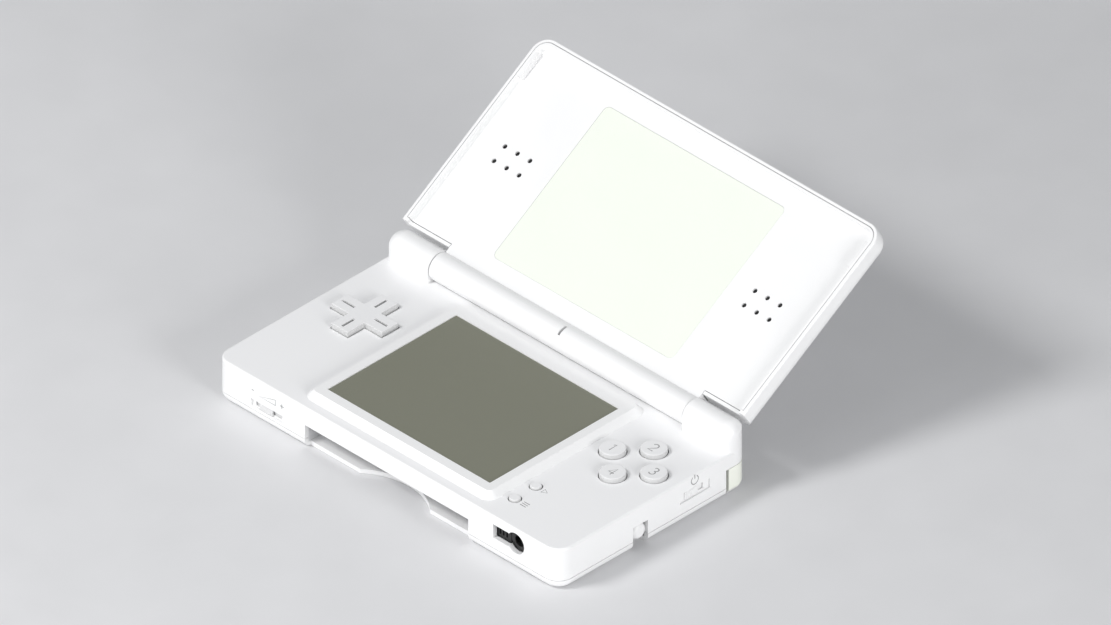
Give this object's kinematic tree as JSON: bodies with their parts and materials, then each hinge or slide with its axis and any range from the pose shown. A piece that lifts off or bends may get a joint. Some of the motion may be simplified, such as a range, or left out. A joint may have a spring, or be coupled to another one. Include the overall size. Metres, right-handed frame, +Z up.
{
  "type": "folding hand-held lcd game",
  "caption": "Folding hand-held game with a screen in each half, a friction-hinged lid, direction pad, push keys, shoulder keys, sliders, card bays and a pen.",
  "frame": {"origin": "centre of the base footprint, on the surface the game lies on", "axes": "+X to the player's right, +Y towards the hinge, +Z up"},
  "size_m": [0.133, 0.1289, 0.0583],
  "materials": {
    "case_white": "glossy moulded white",
    "key_white": "satin moulded white",
    "shoulder_tint": "faintly translucent white with a green tint",
    "slider_grey": "light grey moulding",
    "touch_screen": "olive grey film, satin",
    "upper_screen": "pale display cover",
    "display_glass": "display glass",
    "plate_steel": "pressed sheet",
    "screw_steel": "turned steel",
    "black_plastic": "black moulding",
    "inner_plastic": "light grey inner moulding",
    "battery_grey": "wrapped cell",
    "board_green": "circuit board",
    "rubber_grey": "soft rubber",
    "stop_rubber": "soft white rubber"
  },
  "bodies": {
    "base": {"accessory_port": "black_plastic", "battery_cover": "case_white", "battery_cover_screw": "screw_steel", "battery_pack": "battery_grey", "button_membrane": "rubber_grey", "cartridge_connector": "black_plastic", "cartridge_guide": "inner_plastic", "case_screw_1": "screw_steel", "case_screw_2": "screw_steel", "case_screw_3": "screw_steel", "case_screw_4": "screw_steel", "charge_socket": "black_plastic", "dpad_membrane": "rubber_grey", "game_card_reader": "plate_steel", "headphone_jack": "black_plastic", "hinge_shaft": "screw_steel", "hinge_sleeve": "black_plastic", "lower_case": "case_white", "lower_lcd": "display_glass", "lower_lcd_frame": "plate_steel", "main_board": "board_green", "menu_membrane": "rubber_grey", "power_switch": "black_plastic", "rubber_foot_1": "rubber_grey", "rubber_foot_2": "rubber_grey", "rubber_foot_3": "rubber_grey", "rubber_foot_4": "rubber_grey", "shoulder_pin_left": "screw_steel", "shoulder_pin_right": "screw_steel", "shoulder_switch_left": "black_plastic", "shoulder_switch_right": "black_plastic", "stylus_sleeve": "inner_plastic", "touch_panel": "touch_screen", "upper_case": "case_white", "volume_switch": "black_plastic"},
    "lid": {"lid_outer_shell": "case_white", "lid_inner_shell": "case_white", "upper_lens": "upper_screen", "upper_lcd": "display_glass", "upper_lcd_frame": "plate_steel", "speaker_left": "black_plastic", "speaker_right": "black_plastic", "lid_stop_left": "stop_rubber", "lid_stop_right": "stop_rubber", "hinge_clutch": "screw_steel", "hinge_bush": "inner_plastic", "microphone": "black_plastic"},
    "dpad": {"dpad": "key_white"},
    "dpad_pivot": {"dpad_pivot": "inner_plastic"},
    "power_slider": {"power_slider": "key_white"},
    "volume_slider": {"volume_slider": "slider_grey"},
    "stylus": {"stylus": "key_white"},
    "shoulder_button_left": {"shoulder_button_left": "shoulder_tint"},
    "shoulder_button_right": {"shoulder_button_right": "shoulder_tint"},
    "menu_button_1": {"menu_button_1": "key_white"},
    "menu_button_2": {"menu_button_2": "key_white"},
    "round_button_1": {"round_button_1": "key_white"},
    "round_button_2": {"round_button_2": "key_white"},
    "round_button_3": {"round_button_3": "key_white"},
    "round_button_4": {"round_button_4": "key_white"}
  },
  "joints": [
    {"name": "lid_hinge", "type": "hinge", "parent": "base", "child": "lid", "pos_m": [0, 0.0325, 0.0176], "axis": [1, 0, 0], "range_deg": [-32.6, 147.4]},
    {"name": "dpad_rock_front", "type": "hinge", "parent": "base", "child": "dpad_pivot", "pos_m": [-0.05, 0.0046, 0.01025], "axis": [1, 0, 0], "range_deg": [-3.5, 3.5], "stiffness_Nm_per_rad": 0.12},
    {"name": "dpad_rock_side", "type": "hinge", "parent": "dpad_pivot", "child": "dpad", "pos_m": [-0.05, 0.0046, 0.01025], "axis": [0, 1, 0], "range_deg": [-3.5, 3.5], "stiffness_Nm_per_rad": 0.12},
    {"name": "power_slide", "type": "slide", "parent": "base", "child": "power_slider", "axis": [0, 1, 0], "range_m": [0, 0.0036], "stiffness_N_per_m": 150, "springref_m": -0.0015},
    {"name": "volume_slide", "type": "slide", "parent": "base", "child": "volume_slider", "axis": [1, 0, 0], "range_m": [-0.003, 0.0044]},
    {"name": "stylus_draw", "type": "slide", "parent": "base", "child": "stylus", "axis": [1, 0, 0], "range_m": [0, 0.09]},
    {"name": "shoulder_press_right", "type": "hinge", "parent": "base", "child": "shoulder_button_right", "pos_m": [0.0512, 0.0344, 0.005], "axis": [0, 0, -1], "range_deg": [0, 3], "stiffness_Nm_per_rad": 0.1, "springref_deg": -1.15},
    {"name": "shoulder_press_left", "type": "hinge", "parent": "base", "child": "shoulder_button_left", "pos_m": [-0.0512, 0.0344, 0.005], "axis": [0, 0, 1], "range_deg": [0, 3], "stiffness_Nm_per_rad": 0.1, "springref_deg": -1.15},
    {"name": "menu_button_1_press", "type": "slide", "parent": "base", "child": "menu_button_1", "axis": [0, 0, -1], "range_m": [0, 0.0005], "stiffness_N_per_m": 800, "springref_m": -0.0005},
    {"name": "menu_button_2_press", "type": "slide", "parent": "base", "child": "menu_button_2", "axis": [0, 0, -1], "range_m": [0, 0.0005], "stiffness_N_per_m": 800, "springref_m": -0.0005},
    {"name": "round_button_1_press", "type": "slide", "parent": "base", "child": "round_button_1", "axis": [0, 0, -1], "range_m": [0, 0.0009], "stiffness_N_per_m": 600, "springref_m": -0.0005},
    {"name": "round_button_2_press", "type": "slide", "parent": "base", "child": "round_button_2", "axis": [0, 0, -1], "range_m": [0, 0.0009], "stiffness_N_per_m": 600, "springref_m": -0.0005},
    {"name": "round_button_3_press", "type": "slide", "parent": "base", "child": "round_button_3", "axis": [0, 0, -1], "range_m": [0, 0.0009], "stiffness_N_per_m": 600, "springref_m": -0.0005},
    {"name": "round_button_4_press", "type": "slide", "parent": "base", "child": "round_button_4", "axis": [0, 0, -1], "range_m": [0, 0.0009], "stiffness_N_per_m": 600, "springref_m": -0.0005}
  ]
}
